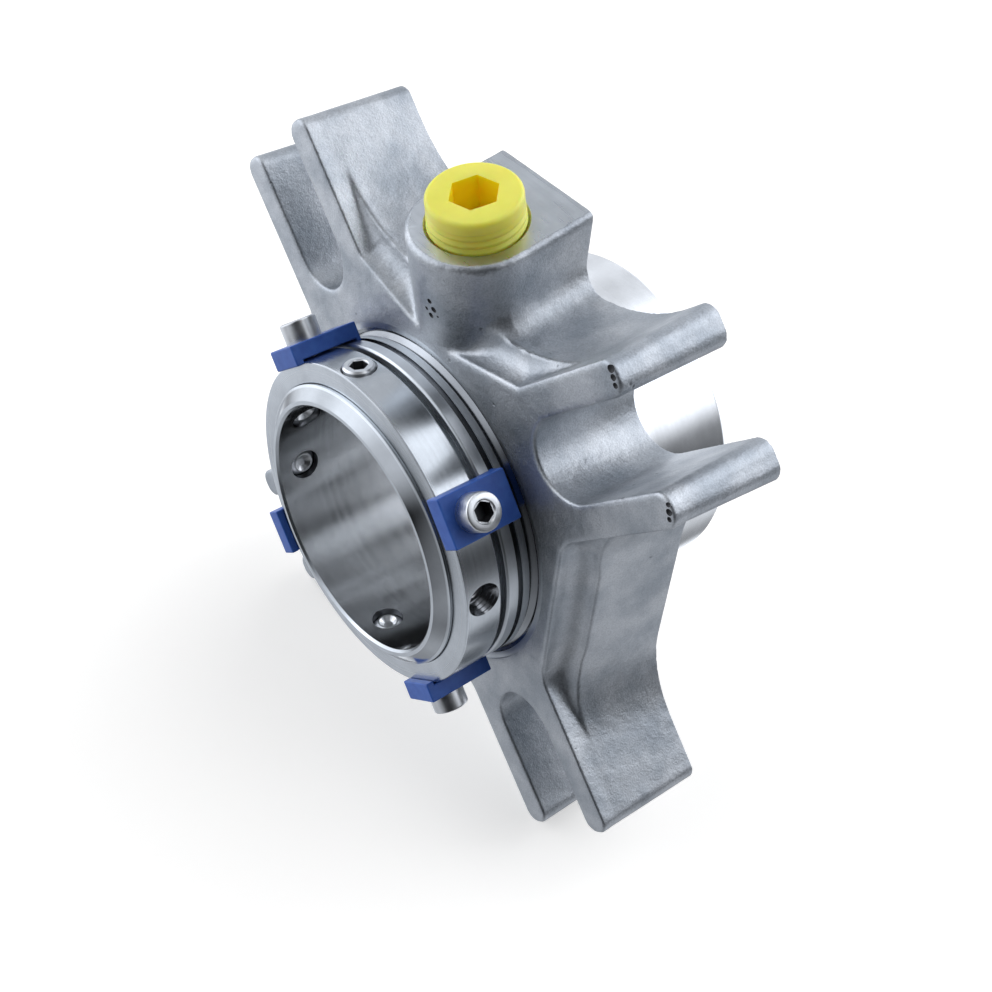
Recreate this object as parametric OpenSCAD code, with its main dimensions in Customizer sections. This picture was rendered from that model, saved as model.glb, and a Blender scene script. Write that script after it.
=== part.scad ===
// Single cartridge mechanical seal for a 50 mm shaft, shown as delivered:
// cast gland with four open bolt slots, sleeve and clamp ring held to it by four
// setting clips, and a transit plug in the flush port.
//
// Frame: the origin is on the shaft axis in the plane of the gland's mounting face.
// +Y runs along the shaft into the pump, +Z goes up through the flush port, and the
// clamp ring end faces -Y. All sizes are in millimetres.

/* [Shaft and sleeve] */
// Bore of the sleeve, for the shaft
shaft_d = 50.06; // [40:0.02:52]
// Wall of the sleeve
sleeve_wall = 3.7; // [3:0.1:4]
// Length of sleeve that stands in front of the clamp ring
sleeve_lip = 2.4; // [1:0.1:5]
// Chamfer at the front end of the sleeve
sleeve_chamfer = 1.1; // [0.4:0.1:1.2]
// Outer diameter of the flange at the pump end of the sleeve
sleeve_flange_d = 62; // [61:0.5:63]
// Length of that flange
sleeve_flange_l = 6; // [5:0.5:8]

/* [Clamp ring] */
// Outer diameter of the clamp ring and of the gland nose
clamp_d = 66; // [65:0.5:68]
// Width of the clamp ring along the shaft
clamp_w = 7.7; // [7.5:0.1:9]
// Gap between the clamp ring and the gland nose
clamp_gap = 1.5; // [1:0.1:2]
// Diameter of the cup-point set screws
set_screw_d = 6; // [4:0.5:6]
// Length of the long set screws
set_screw_l = 8; // [6:0.5:8.5]
// Angle of the first set screw, from +X towards +Z
set_screw_a = 11; // [5:1:15]

/* [Setting clips] */
// Width of a clip
clip_w = 9.4; // [8:0.1:11]
// Thickness of a clip's plate
clip_t = 3.1; // [2.5:0.1:4]
// Thickness of the clip's front tab along the shaft
clip_tab_t = 1.6; // [1.2:0.1:2.2]
// How far the tab and the rear lug reach inwards below the plate
clip_hook = 0.8; // [0.5:0.1:1]
// Width of the groove in the gland nose
nose_groove_w = 1.1; // [0.9:0.1:2.4]
// Distance of that groove from the front of the nose
nose_land = 2.4; // [1.5:0.1:3]
// Angle of the first clip, from +X towards +Z
clip_a = 41; // [36:1:46]
// Thread diameter of the clip screws
clip_screw_d = 4; // [3:0.5:4]

/* [Gland casting] */
// Depth of the gland from its cast front face to its mounting face
gland_depth = 23; // [22.6:0.1:27]
// Length of the machined nose in front of the cast face
nose_l = 6; // [5.5:0.1:8]
// Overall size over the finger tips, through the shaft axis
gland_d = 146; // [140:1:156]
// Width of the open bolt slots
slot_w = 15.5; // [12:0.5:16.5]
// Distance from the shaft axis to the bottom of a slot
slot_bottom = 43; // [43:0.25:45]
// Thickness of a slot's finger at the front
finger_t = 6.3; // [5:0.1:7]
// Extra thickness of a finger at the back, from the casting draft
finger_draft = 1.3; // [0.5:0.1:1.6]
// Radius at the corners of the finger tips
tip_r = 2.7; // [1.6:0.1:3]
// Half width of the front plate between the fingers
front_waist = 38.2; // [38:0.1:39]
// Half width of the body behind the front plate
ledge_waist = 42.3; // [42:0.1:43.5]
// Half width of the body at the mounting face
back_waist = 45.3; // [44.5:0.1:47]
// Depth of the front plate's straight wall
plate_t = 3.2; // [2.5:0.1:4]
// Depth over which the pocket beside each finger runs out to the body
ledge_depth = 3.2; // [2.5:0.1:4]
// How much higher the flat beside the boss is than the other flats
top_rise = 2.7; // [0:0.1:3]
// Radius of the cast edges
edge_r = 1.1; // [0.6:0.1:1.3]

/* [Flush port] */
// Forward lean of the port from +Z
port_lean = 11; // [0:1:14]
// Height of the boss face above the shaft axis, along +Z
port_z = 59.8; // [58:0.1:64]
// Distance of the boss face's centre in front of the mounting face
port_y = 15; // [14:0.1:16]
// Width of the boss
boss_w = 24.9; // [23:0.1:27]
// Radius of the fillet between the boss and the body
boss_fillet = 5; // [3:0.5:6]
// Largest diameter of the transit plug
plug_d = 16.9; // [14:0.1:18]
// Height of the plug above the boss
plug_h = 5.5; // [4:0.1:8]
// Depth of the plug in the port
plug_in = 7; // [5:0.5:9]
// Hexagon socket of the plug, across flats
plug_hex = 8; // [6:0.5:9]
// Depth of that socket
plug_socket = 7; // [4:0.5:9]

/* [Seal faces] */
// Outer diameter of the polished barrel
barrel_d = 67.6; // [67:0.1:68]
// Distance from the mounting face to the pump end of the barrel
barrel_end = 26.1; // [24:0.1:30]
// Distance of the sealing plane in front of the mounting face
face_y = 10.5; // [10:0.1:11]
// Number of springs
spring_n = 8; // [4:1:10]
// Wire diameter of the springs
spring_wire = 0.5; // [0.4:0.05:0.6]
// Outer diameter of the springs
spring_d = 3; // [2.6:0.1:3]
// Depth of the spring pockets in the barrel
spring_pocket = 8; // [6:0.5:9]
// Travel of the spring-loaded face
float_travel = 1.5; // [0.5:0.1:1.8]

/* [Hidden] */

// Clearances between pieces
fit = 0.05;          // turned fits, on the radius
loose = 0.3;         // running and sliding gaps
bite = 0.01;         // overlap of cutters with the face that they start from

// Facets of exact rounds and of rounds inside a hull
fine = 96;
coarse = 32;

// Radii of the turned parts
bore_r = shaft_d / 2;
sleeve_r = bore_r + sleeve_wall;
clamp_r = clamp_d / 2;
nose_r = clamp_r;
barrel_r = barrel_d / 2;
flange_r = sleeve_flange_d / 2;

// Stations along the shaft, from the front to the pump end
gland_front = -gland_depth;
nose_front = gland_front - nose_l;
clamp_back = nose_front - clamp_gap;
clamp_front = clamp_back - clamp_w;
clamp_mid = (clamp_front + clamp_back) / 2;
sleeve_front = clamp_front - sleeve_lip;
sleeve_back = barrel_end;
flange_front = sleeve_back - sleeve_flange_l;

// Fingers, in the slot's own direction: u outwards, v across
tip_u = gland_d / 2;
slot_r = slot_w / 2;
slot_u = slot_bottom + slot_r;
finger_v = slot_r + finger_t;

// Corner rounds of the casting between a flat side and a finger
front_round = 7;
ledge_round = 24;
back_round = 26;
arc_steps = 5;
tip_steps = 3;
slot_steps = 12;

// Seat of the stationary face in the gland
nose_bore_r = sleeve_r + 0.85;
seat_r = barrel_r + 1.7;
seat_back = -face_y - 1.6;
seat_l = 8.5;
seat_front = seat_back - seat_l;
pocket_front = seat_front - 0.2;
chamber_r = seat_r + 0.9;
chamber_front = seat_back + 0.5;
seat_nose_r = seat_r - 2.3;
seat_ring_d = 3;
seat_ring_y = seat_front + 4.2;
seat_ring_out = seat_r + seat_ring_d - 0.4;
pin_d = 3;
pin_l = 4;
pin_r = seat_r - 2.5;

// Gasket on the mounting face
gasket_in = chamber_r + 1.8;
gasket_out = gasket_in + 3.6;
gasket_t = 1.5;
gasket_proud = 0.8;

// Machined ring around the nose, turned into the cast face
spot_r = nose_r + 2.4;
spot_depth = 0.25;

// Barrel: wall around the faces and spring pockets in its solid end
barrel_front = -face_y + 2.2;
barrel_wall = 1.1;
cavity_r = barrel_r - barrel_wall;
face_in = sleeve_r + 0.25;
face_out = cavity_r - 0.2;
face_l = 8;
face_back = -face_y + face_l;
band_back = -face_y + 1.6;
ring_wire = 2.4;
recess_l = ring_wire + 0.6;
thrust_front = face_back + 0.2;
thrust_t = 2.2;
thrust_back = thrust_front + thrust_t;
cavity_back = thrust_back + float_travel + 0.5;
pocket_r = spring_d / 2 + 0.2;
spring_track = (face_in + face_out) / 2;
spring_back = cavity_back + spring_pocket;
spring_turns = 6;
drive_pin_d = 2;
drive_pin_y = face_back;
drive_pin_in = 0.9;

// Notches in the carbon ring and the thrust ring, in which the drive pins slide
notch_w = drive_pin_d + 0.4;
notch_in = drive_pin_in + 0.25;
notch_front = drive_pin_y - drive_pin_d / 2 - float_travel - loose;

// Pins that lock the barrel to the flange of the sleeve
barrel_pin_d = 2;
barrel_pin_in = 1.9;
barrel_pin_y = flange_front + 1.6;

// O-ring in the bore of the sleeve and its groove
shaft_ring_d = 3;
shaft_groove_w = shaft_ring_d + 0.4;
shaft_groove_in = 0.8 * shaft_ring_d;
shaft_groove_y = (flange_front + sleeve_back) / 2;

// Set screws: four a quarter turn apart and one between two clips
set_screw_r = set_screw_d / 2;
tip_recess = 0.6;
extra_screw_a = set_screw_a + 149;
short_screw_l = 5;
set_hex = 0.5 * set_screw_d;

// Clips
clip_bottom = clamp_r + fit;
clip_top = clip_bottom + clip_t;
clip_front = clamp_front - fit - clip_tab_t;
groove_front = nose_front + nose_land;
groove_back = groove_front + nose_groove_w;
clip_back = groove_back - 2 * fit;
lug_front = groove_front + 2 * fit;
groove_r = clip_bottom - clip_hook - 0.3;
screw_r = clip_screw_d / 2;
head_r = 0.875 * clip_screw_d;
head_h = clip_screw_d;
head_hex = 0.75 * clip_screw_d;
screw_tip = sleeve_r + 0.4;

// Port
plug_r = plug_d / 2;
plug_taper = 1 / 32;
port_bottom = plug_in + 5;
port_drill_r = 3.2;
boss_r = boss_w / 2;
boss_edge_r = 1.4;
boss_down = port_z - chamber_r - 1;

// Points of one quarter of the casting's outline, from a flat side round a pair of
// fingers and the slot between them to the next flat side. Each flat is [half width,
// corner round]; v and s are the fingers' outer and inner half widths, u the distance
// of their tips and t their corner radius.
function arc(c, r, from, to, steps) =
    [for (i = [0:steps]) let (g = from + (to - from) * i / steps) [c[0] + r * cos(g), c[1] + r * sin(g)]];
function along_slot(u, v) = [(u + v) / sqrt(2), (u - v) / sqrt(2)];
function corner(flat, v) =
    let (far = flat[0] + flat[1])
    [far, far - (v + flat[1]) * sqrt(2)];
function quarter(first, last, v, s, u, t) =
    let (
        c1 = corner(first, v),
        c2 = corner(last, v)
    )
    concat(
        arc(c1, first[1], 180, 135, arc_steps),
        arc(along_slot(u - t, v - t), t, -45, 45, tip_steps),
        arc(along_slot(u - t, s + t), t, 45, 135, tip_steps),
        arc(along_slot(slot_u, 0), s, -45, -225, slot_steps),
        arc(along_slot(u - t, -s - t), t, -45, 45, tip_steps),
        arc(along_slot(u - t, t - v), t, 45, 135, tip_steps),
        arc([c2[1], c2[0]], last[1], -45, -90, arc_steps)
    );

function turned(p, g) = [p[0] * cos(g) - p[1] * sin(g), p[0] * sin(g) + p[1] * cos(g)];

// Whole outline of a section: y, half width, top half width, corner round and the
// inset of the cast edge. The top flat carries the boss.
function outline(s) =
    let (
        side = [s[1] - s[4], s[3] + s[4]],
        top = [s[2] - s[4], s[3] + s[4]],
        v = finger_v + finger_draft * max(0, (s[0] - gland_front - plate_t) / (gland_depth - plate_t))
    )
    [for (k = [0:3]) for (p = quarter(k == 1 ? top : side, k == 0 ? top : side,
        v - s[4], slot_r + s[4], tip_u - s[4], tip_r - s[4])) turned(p, 90 * k)];

// Sections of the casting from front to back
function mix(a, b, k) = a + (b - a) * k;
function front_section(g) =
    let (inset = edge_r * (1 - sin(g)))
    [gland_front + edge_r * (1 - cos(g)), front_waist, front_waist, front_round, inset];
function ledge_section(g) =
    let (k = 1 - cos(g))
    [gland_front + plate_t + ledge_depth * sin(g), mix(front_waist, ledge_waist, k),
        mix(front_waist, ledge_waist + top_rise, k), mix(front_round, ledge_round, k), 0];
function back_section(g) =
    let (inset = edge_r * (1 - sin(g)))
    [-edge_r * (1 - cos(g)), back_waist, back_waist + top_rise, back_round, inset];
sections = concat(
    [for (g = [0, 45, 90]) front_section(g)],
    [for (g = [0, 35, 60, 90]) ledge_section(g)],
    [for (g = [90, 45, 0]) back_section(g)]
);

// Where the stretches of a quarter's outline begin in its list of points
tip_start = arc_steps + 1;
slot_start = tip_start + 2 * (tip_steps + 1);
tip_start_2 = slot_start + slot_steps + 1;
arc_start_2 = tip_start_2 + 2 * (tip_steps + 1);
quarter_points = arc_start_2 + arc_steps + 1;
outline_points = 4 * quarter_points;

function run(from, to) = [for (i = [from:to]) i];

// Faces that fill one quarter of an end: two fingers, and a fan from the middle point c
// over the flats, the corner rounds and the bottom of the slot
function end_faces(k, c) =
    let (
        first = k * quarter_points,
        next = (first + quarter_points) % outline_points,
        finger_1 = run(arc_steps, slot_start + 2),
        finger_2 = concat([arc_start_2], run(slot_start + slot_steps - 2, arc_start_2 - 1)),
        core = concat(run(0, arc_steps), run(slot_start + 2, slot_start + slot_steps - 2),
            run(arc_start_2, quarter_points - 1))
    )
    [[for (i = finger_1) first + i], [for (i = finger_2) first + i],
        concat([c], [for (i = core) first + i], [next])];
function backwards(f) = concat([f[0]], [for (i = [len(f) - 1:-1:1]) f[i]]);

// Solid through a list of sections from front to back
module loft(sections) {
    n = outline_points;
    m = len(sections);
    middles = [[0, sections[0][0], 0], [0, sections[m - 1][0], 0]];
    points = concat([for (s = sections) for (p = outline(s)) [p[0], s[0], p[1]]], middles);
    sides = [for (j = [0:m - 2]) for (i = [0:n - 1]) let (k = (i + 1) % n)
        [j * n + i, j * n + k, (j + 1) * n + k, (j + 1) * n + i]];
    front = [for (k = [0:3]) for (f = end_faces(k, n * m)) backwards(f)];
    back_first = (m - 1) * n;
    back = [for (k = [0:3]) for (f = end_faces(k, n * m + 1 - back_first)) [for (i = f) i + back_first]];
    polyhedron(points = points, faces = concat(sides, front, back), convexity = 6);
}

// Turned shape about the shaft from points [radius, y]
module turned_ring(points) {
    rotate([-90, 0, 0])
        rotate_extrude($fn = fine)
            polygon(points);
}

// Plain ring about the shaft
module ring(r_in, r_out, y0, y1) {
    turned_ring([[r_in, y0], [r_out, y0], [r_out, y1], [r_in, y1]]);
}

// Round bar along the shaft direction
module bar_y(r, y0, y1, faces = fine) {
    translate([0, y0, 0])
        rotate([-90, 0, 0])
            cylinder(r = r, h = y1 - y0, $fn = faces);
}

// Children placed at angle g from +X, with their +Z pointing outwards
module at_angle(g, y) {
    rotate([0, -g + 90, 0])
        translate([0, y, 0])
            children();
}

// Children in the port's own frame: origin on the boss face, +Z out of the port
module in_port() {
    translate([0, -port_y, port_z])
        rotate([port_lean, 0, 0])
            children();
}

// Boss with a half-round front and rounded top edge, cut off at the mounting face
module boss_section() {
    side = boss_r - boss_edge_r;
    translate([0, -boss_down])
        square([boss_r, boss_down - boss_edge_r]);
    translate([0, -boss_down])
        square([side, boss_down]);
    translate([side, -boss_edge_r])
        circle(r = boss_edge_r, $fn = fine);
}

module boss() {
    intersection() {
        union() {
            in_port() {
                rotate_extrude($fn = fine)
                    boss_section();
                rotate([90, 0, 180])
                    linear_extrude(port_y + boss_w) {
                        boss_section();
                        mirror([1, 0])
                            boss_section();
                    }
            }
            boss_foot();
            mirror([1, 0, 0])
                boss_foot();
        }
        translate([-boss_w, -2 * port_z, chamber_r + 1])
            cube([2 * boss_w, 2 * port_z, port_z]);
    }
}

// Fillet along the foot of the boss, leaning back with the draft of the flat beside it
module boss_foot() {
    lean = atan((back_waist - ledge_waist) / (gland_depth - plate_t - ledge_depth));
    translate([boss_r - bite, 0, back_waist + top_rise])
        rotate([90 + lean, 0, 0])
            linear_extrude(gland_depth - plate_t - ledge_depth - 1)
                difference() {
                    translate([-1, -boss_fillet])
                        square([boss_fillet + 1, 2 * boss_fillet]);
                    translate([boss_fillet, boss_fillet])
                        circle(r = boss_fillet, $fn = fine);
                }
}

// Everything that is turned or drilled along the shaft in the casting
module gland_turning() {
    turned_ring([
        [0, nose_front - 1], [nose_bore_r, nose_front - 1], [nose_bore_r, pocket_front],
        [seat_r + fit, pocket_front], [seat_r + fit, seat_ring_y - 2],
        [seat_ring_out, seat_ring_y - 2], [seat_ring_out, seat_ring_y + 2],
        [seat_r + fit, seat_ring_y + 2], [seat_r + fit, chamber_front],
        [chamber_r, chamber_front], [chamber_r, 1], [0, 1]
    ]);
}

// Tapered port with a chamfered mouth, and the drilling on into the seal chamber
module port_cut() {
    in_port()
        rotate_extrude($fn = fine)
            polygon([
                [0, chamber_r - port_z - 2], [port_drill_r, chamber_r - port_z - 2],
                [port_drill_r, -port_bottom], [plug_r + fit - port_bottom * plug_taper, -port_bottom],
                [plug_r + fit, -0.5], [plug_r + 0.8, 0], [plug_r + 0.8, 1], [0, 1]
            ]);
}

module gland() {
    color("lightsteelblue")
        difference() {
            union() {
                loft(sections);
                turned_ring([
                    [nose_bore_r - 1, gland_front + 2], [nose_r, gland_front + 2],
                    [nose_r, groove_back], [groove_r, groove_back], [groove_r, groove_front],
                    [nose_r, groove_front], [nose_r, nose_front + 0.4], [nose_r - 0.4, nose_front],
                    [nose_bore_r - 1, nose_front]
                ]);
                boss();
            }
            ring(nose_r, spot_r, gland_front - 1, gland_front + spot_depth);
            ring(gasket_in - fit, gasket_out + fit, gasket_proud - gasket_t, 1);
            gland_turning();
            translate([0, 0, -pin_r])
                bar_y(pin_d / 2 + fit, pocket_front - pin_l / 2 - fit, pocket_front + 1, coarse);
            port_cut();
        }
}

module gland_gasket() {
    color("darkslategray")
        ring(gasket_in, gasket_out, -gasket_t + gasket_proud, gasket_proud);
}

// Seat ring with a raised sealing band and a notch for the pin
module stationary_face() {
    color("dimgray")
        difference() {
            turned_ring([
                [nose_bore_r + 0.4, seat_front], [seat_r - 0.6, seat_front], [seat_r, seat_front + 0.6],
                [seat_r, seat_back], [seat_nose_r, seat_back], [seat_nose_r, -face_y],
                [nose_bore_r + 0.4, -face_y]
            ]);
            translate([0, 0, -pin_r])
                bar_y(pin_d / 2 + loose, seat_front - 1, seat_front + pin_l / 2, coarse);
        }
}

module stationary_o_ring() {
    color("black")
        rotate([-90, 0, 0])
            rotate_extrude($fn = fine)
                translate([seat_r + seat_ring_d / 2 - 0.4 + 0.2 * fit, seat_ring_y])
                    intersection() {
                        circle(r = seat_ring_d / 2, $fn = coarse);
                        square([seat_ring_d - 0.8, seat_ring_d], center = true);
                    }
}

module anti_rotation_pin() {
    color("silver")
        translate([0, 0, -pin_r])
            bar_y(pin_d / 2, pocket_front - pin_l / 2, pocket_front + pin_l / 2, coarse);
}

// Angles and lengths of the set screws
set_screws_at = concat(
    [for (k = [0:3]) [set_screw_a + 90 * k, k == 0 ? short_screw_l : set_screw_l]],
    [[extra_screw_a, set_screw_l]]
);

module sleeve() {
    color("silver")
        difference() {
            turned_ring([
                [bore_r + 0.4, sleeve_front], [sleeve_r - sleeve_chamfer, sleeve_front],
                [sleeve_r, sleeve_front + sleeve_chamfer], [sleeve_r, flange_front],
                [flange_r, flange_front], [flange_r, sleeve_back], [bore_r + 0.8, sleeve_back],
                [bore_r, sleeve_back - 0.8], [bore_r, sleeve_front + 0.4]
            ]);
            ring(bore_r - 1, bore_r + shaft_groove_in,
                shaft_groove_y - shaft_groove_w / 2, shaft_groove_y + shaft_groove_w / 2);
            for (s = set_screws_at)
                at_angle(s[0], clamp_mid)
                    translate([0, 0, bore_r - 2])
                        cylinder(r = set_screw_r + fit, h = sleeve_wall + 4, $fn = fine);
            for (s = [-1, 1])
                rotate([0, 90 * s, 0])
                    translate([0, barrel_pin_y, flange_r - barrel_pin_in - fit])
                        cylinder(r = barrel_pin_d / 2 + fit, h = barrel_pin_in + 1, $fn = fine);
        }
}

module shaft_o_ring() {
    color("black")
        rotate([-90, 0, 0])
            rotate_extrude($fn = fine)
                translate([bore_r + shaft_groove_in / 2, shaft_groove_y])
                    intersection() {
                        circle(d = shaft_ring_d, $fn = coarse);
                        square([shaft_groove_in - fit, shaft_ring_d + 1], center = true);
                    }
}

module clamp_ring() {
    color("gainsboro")
        difference() {
            turned_ring([
                [sleeve_r + fit, clamp_front], [clamp_r - 0.4, clamp_front], [clamp_r, clamp_front + 0.4],
                [clamp_r, clamp_back - 0.3], [clamp_r - 0.3, clamp_back], [sleeve_r + fit, clamp_back]
            ]);
            for (s = set_screws_at)
                at_angle(s[0], clamp_mid)
                    translate([0, 0, sleeve_r - 1])
                        cylinder(r = set_screw_r + fit, h = clamp_r, $fn = fine);
            for (k = [0:3])
                at_angle(clip_a + 90 * k, clamp_mid)
                    translate([0, 0, sleeve_r - 1])
                        cylinder(r = screw_r + fit, h = clamp_r, $fn = fine);
        }
}

// Cup-point screw with a hexagon socket, its point at z = 0
module set_screw(l) {
    difference() {
        rotate_extrude($fn = fine)
            polygon([
                [0, 0.7], [set_screw_r - 1, 0], [set_screw_r, 1], [set_screw_r, l - 0.5],
                [set_screw_r - 0.5, l], [0, l]
            ]);
        translate([0, 0, l - 0.45 * l])
            cylinder(d = set_hex / cos(30), h = l, $fn = 6);
    }
}

module set_screws() {
    color("darkgray")
        for (s = set_screws_at)
            at_angle(s[0], clamp_mid)
                translate([0, 0, bore_r + tip_recess])
                    set_screw(s[1]);
}

module barrel() {
    color("whitesmoke")
        difference() {
            turned_ring([
                [cavity_r, barrel_front], [barrel_r - 0.5, barrel_front], [barrel_r, barrel_front + 0.5],
                [barrel_r, barrel_end - 1], [barrel_r - 1, barrel_end], [flange_r + fit, barrel_end],
                [flange_r + fit, flange_front - fit], [sleeve_r + fit, flange_front - fit],
                [sleeve_r + fit, cavity_back], [cavity_r, cavity_back]
            ]);
            for (k = [0:spring_n - 1])
                rotate([0, 360 / spring_n * (k + 0.5), 0])
                    translate([0, 0, spring_track])
                        bar_y(pocket_r, cavity_back - 1, spring_back, coarse);
            for (s = [-1, 1]) {
                rotate([0, 90 * s, 0])
                    translate([0, barrel_pin_y, flange_r - 1])
                        cylinder(r = barrel_pin_d / 2 + fit, h = barrel_r - flange_r + 2, $fn = fine);
                rotate([0, 90 * s, 0])
                    translate([0, drive_pin_y, cavity_r - 1])
                        cylinder(d = drive_pin_d + fit, h = barrel_wall + 2, $fn = fine);
            }
        }
}

module barrel_pins() {
    color("gray")
        for (s = [-1, 1])
            rotate([0, 90 * s, 0])
                translate([0, barrel_pin_y, flange_r - barrel_pin_in])
                    cylinder(d = barrel_pin_d, h = barrel_r - flange_r + barrel_pin_in - 4 * fit, $fn = fine);
}

module drive_pins() {
    color("gray")
        for (s = [-1, 1])
            rotate([0, 90 * s, 0])
                translate([0, drive_pin_y, face_out - drive_pin_in])
                    cylinder(d = drive_pin_d, h = barrel_r - face_out + drive_pin_in - 4 * fit, $fn = fine);
}

// Points of a coil's centre line and of its round section
coil_r = (spring_d - spring_wire) / 2;
coil_sides = 5;
coil_rings = 10;
function coil_frame(i, l) =
    let (g = 360 * i / coil_rings)
    [coil_r * cos(g), spring_wire / 2 + (l - spring_wire) * i / (coil_rings * spring_turns), coil_r * sin(g)];

module spring(l) {
    steps = coil_rings * spring_turns;
    points = [for (i = [0:steps]) for (j = [0:coil_sides - 1]) let (
            g = 360 * i / coil_rings,
            h = 360 * j / coil_sides,
            c = coil_frame(i, l),
            w = spring_wire / 2
        ) [c[0] + w * cos(h) * cos(g), c[1] + w * sin(h), c[2] + w * cos(h) * sin(g)]];
    polyhedron(
        points = points,
        faces = concat(
            [for (i = [0:steps - 1]) for (j = [0:coil_sides - 1]) let (k = (j + 1) % coil_sides)
                [i * coil_sides + j, i * coil_sides + k, (i + 1) * coil_sides + k]],
            [for (i = [0:steps - 1]) for (j = [0:coil_sides - 1]) let (k = (j + 1) % coil_sides)
                [i * coil_sides + j, (i + 1) * coil_sides + k, (i + 1) * coil_sides + j]],
            [[for (j = [coil_sides - 1:-1:0]) j]],
            [[for (j = [0:coil_sides - 1]) steps * coil_sides + j]]
        ),
        convexity = 6
    );
}

module springs() {
    color("silver")
        for (k = [0:spring_n - 1])
            rotate([0, 360 / spring_n * (k + 0.5), 0])
                translate([0, thrust_back + fit, spring_track])
                    spring(spring_back - thrust_back - 2 * fit);
}

// Two notches for the drive pins, from front face y0 backwards
module drive_notches(y0) {
    for (s = [-1, 1])
        rotate([0, 90 * s, 0])
            translate([-notch_w / 2, y0, face_out - notch_in])
                cube([notch_w, face_l, notch_in + 1]);
}

// Carbon ring with its sealing band towards the seat, a recess for the O-ring and
// notches for the drive pins
module rotary_face() {
    color("black")
        difference() {
            turned_ring([
                [nose_bore_r + 0.6, -face_y], [nose_bore_r + 2.6, -face_y],
                [nose_bore_r + 2.6, band_back], [face_out, band_back + 1], [face_out, face_back],
                [sleeve_r + ring_wire, face_back], [sleeve_r + ring_wire, face_back - recess_l],
                [face_in, face_back - recess_l], [face_in, -face_y + 1], [nose_bore_r + 0.6, -face_y + 1]
            ]);
            drive_notches(notch_front);
        }
}

module rotary_o_ring() {
    color("dimgray")
        rotate([-90, 0, 0])
            rotate_extrude($fn = fine)
                translate([sleeve_r + ring_wire / 2, face_back - ring_wire / 2 - 0.1])
                    circle(d = ring_wire - 0.08, $fn = coarse);
}

module thrust_ring() {
    color("lightgray")
        difference() {
            ring(face_in, face_out, thrust_front, thrust_back);
            drive_notches(thrust_front - 1);
        }
}

// Plate over the clamp ring with a front tab and a rear lug that locks into the groove
module setting_clip(k) {
    color("navy")
        at_angle(clip_a + 90 * k, 0)
            difference() {
                union() {
                    translate([-clip_w / 2, clip_front, clip_bottom])
                        cube([clip_w, clip_back - clip_front, clip_t]);
                    translate([-clip_w / 2, clip_front, clip_bottom - clip_hook])
                        cube([clip_w, clip_tab_t, clip_hook + 1]);
                    translate([-clip_w / 2, lug_front, clip_bottom - clip_hook])
                        cube([clip_w, clip_back - lug_front, clip_hook + 1]);
                }
                translate([0, clamp_mid, clip_bottom - 1])
                    cylinder(r = screw_r + 0.2, h = clip_t + 2, $fn = fine);
            }
}

// Socket head cap screw that holds a clip to the clamp ring
module clip_screw(k) {
    color("dimgray")
        at_angle(clip_a + 90 * k, clamp_mid)
            difference() {
                rotate_extrude($fn = fine)
                    polygon([
                        [0, screw_tip], [screw_r - 0.4, screw_tip], [screw_r, screw_tip + 0.4],
                        [screw_r, clip_top], [head_r, clip_top], [head_r, clip_top + head_h - 0.35],
                        [head_r - 0.35, clip_top + head_h], [0, clip_top + head_h]
                    ]);
                translate([0, 0, clip_top + head_h / 2])
                    cylinder(d = head_hex / cos(30), h = head_h, $fn = 6);
            }
}

// Tapered plastic plug with a hexagon socket, in the port's frame
module port_plug() {
    color("gold")
        in_port()
            difference() {
                rotate_extrude($fn = fine)
                    polygon([
                        [0, -plug_in], [plug_r - 0.9 - plug_in * plug_taper, -plug_in],
                        [plug_r - 0.3 - plug_in * plug_taper, 0.6 - plug_in], [plug_r - 0.2, -0.2],
                        [plug_r, plug_h - 1.2], [plug_r - 0.3, plug_h - 0.4], [plug_r - 1.1, plug_h],
                        [0, plug_h]
                    ]);
                translate([0, 0, plug_h - plug_socket])
                    cylinder(d = plug_hex / cos(30), h = plug_socket + 1, $fn = 6);
            }
}

gland();
gland_gasket();
stationary_face();
stationary_o_ring();
anti_rotation_pin();
sleeve();
clamp_ring();
set_screws();
shaft_o_ring();
barrel();
barrel_pins();
drive_pins();
springs();
rotary_face();
rotary_o_ring();
thrust_ring();
setting_clip(0);  // setting_clip_1
setting_clip(1);  // setting_clip_2
setting_clip(2);  // setting_clip_3
setting_clip(3);  // setting_clip_4
clip_screw(0);  // clip_screw_1
clip_screw(1);  // clip_screw_2
clip_screw(2);  // clip_screw_3
clip_screw(3);  // clip_screw_4
port_plug();
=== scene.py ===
import math

import bmesh
import bpy
import numpy as np
from mathutils import Matrix, Vector

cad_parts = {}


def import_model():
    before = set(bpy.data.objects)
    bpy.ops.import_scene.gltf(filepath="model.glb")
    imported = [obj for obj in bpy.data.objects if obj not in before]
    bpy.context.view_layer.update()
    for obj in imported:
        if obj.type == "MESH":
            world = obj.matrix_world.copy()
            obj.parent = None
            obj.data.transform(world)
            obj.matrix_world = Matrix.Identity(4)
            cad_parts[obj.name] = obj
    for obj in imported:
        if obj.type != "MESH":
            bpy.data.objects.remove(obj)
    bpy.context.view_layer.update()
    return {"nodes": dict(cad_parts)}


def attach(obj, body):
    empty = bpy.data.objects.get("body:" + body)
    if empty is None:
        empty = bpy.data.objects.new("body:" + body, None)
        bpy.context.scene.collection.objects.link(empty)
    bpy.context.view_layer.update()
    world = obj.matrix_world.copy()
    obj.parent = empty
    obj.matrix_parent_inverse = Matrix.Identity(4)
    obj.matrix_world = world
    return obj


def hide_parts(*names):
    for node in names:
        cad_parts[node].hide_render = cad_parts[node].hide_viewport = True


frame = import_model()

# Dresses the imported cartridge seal. Lengths are millimetres until a mesh is made, in the
# frame of the solids: +Y along the shaft into the pump, +Z up through the flush port.
MM = 0.001
ROOT2 = math.sqrt(2)
FIT = 0.05
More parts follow.
